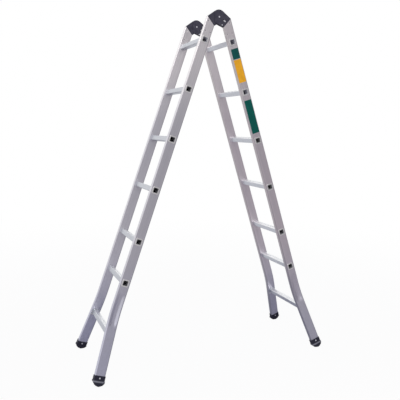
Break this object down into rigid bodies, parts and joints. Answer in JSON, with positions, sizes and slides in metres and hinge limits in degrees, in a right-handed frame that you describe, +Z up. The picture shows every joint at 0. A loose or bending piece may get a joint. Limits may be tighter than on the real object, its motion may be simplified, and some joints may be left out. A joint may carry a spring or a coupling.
{
  "type": "ladder",
  "caption": "Folding double ladder of aluminium tube standing open, with rungs through flared stiles, locking black top hinges and rounded black feet.",
  "frame": {"origin": "on the floor, under the middle of the pivot line between the two hinges", "axes": "+Z up; the flights spread along X, with the leaf's flight at -X; Y runs along the pivot line, with the pictured side at -Y"},
  "size_m": [1.4588, 0.5464, 2.0524],
  "materials": {
    "stile_aluminium": "satin extruded",
    "rung_aluminium": "bright extruded",
    "hinge_black": "satin black",
    "lock_steel": "bright",
    "rivet_steel": "dull",
    "foot_rubber": "matte black"
  },
  "bodies": {
    "left_flight": {"left_front_stile": "stile_aluminium", "left_front_foot": "foot_rubber", "left_rear_stile": "stile_aluminium", "left_rear_foot": "foot_rubber", "left_rung_1": "rung_aluminium", "left_rung_2": "rung_aluminium", "left_rung_3": "rung_aluminium", "left_rung_4": "rung_aluminium", "left_rung_5": "rung_aluminium", "left_rung_6": "rung_aluminium", "left_rung_7": "rung_aluminium", "left_bottom_rung_rivets": "rivet_steel", "left_foot_rivets": "rivet_steel", "left_hinge_rivets": "rivet_steel", "front_hinge_leaf": "hinge_black", "rear_hinge_leaf": "hinge_black", "pivot_pins": "lock_steel"},
    "right_flight": {"right_front_stile": "stile_aluminium", "right_front_foot": "foot_rubber", "right_rear_stile": "stile_aluminium", "right_rear_foot": "foot_rubber", "right_rung_1": "rung_aluminium", "right_rung_2": "rung_aluminium", "right_rung_3": "rung_aluminium", "right_rung_4": "rung_aluminium", "right_rung_5": "rung_aluminium", "right_rung_6": "rung_aluminium", "right_rung_7": "rung_aluminium", "right_bottom_rung_rivets": "rivet_steel", "right_foot_rivets": "rivet_steel", "right_hinge_rivets": "rivet_steel", "front_outer_cheek": "hinge_black", "front_inner_cheek": "hinge_black", "front_cheek_spacer": "hinge_black", "front_lock_spring": "lock_steel", "rear_outer_cheek": "hinge_black", "rear_inner_cheek": "hinge_black", "rear_cheek_spacer": "hinge_black", "rear_lock_spring": "lock_steel", "cheek_spacer_rivets": "lock_steel"},
    "front_lock_bolt": {"front_lock_bolt": "lock_steel"},
    "rear_lock_bolt": {"rear_lock_bolt": "lock_steel"}
  },
  "joints": [
    {"name": "fold", "type": "hinge", "parent": "left_flight", "child": "right_flight", "pos_m": [0, 0, 2.01088], "axis": [0, -1, 0], "range_deg": [-36.4, 143.6]},
    {"name": "front_lock_slide", "type": "slide", "parent": "right_flight", "child": "front_lock_bolt", "axis": [-0.8554, 0, 0.518], "range_m": [0, 0.006]},
    {"name": "rear_lock_slide", "type": "slide", "parent": "right_flight", "child": "rear_lock_bolt", "axis": [-0.8554, 0, 0.518], "range_m": [0, 0.006]}
  ]
}
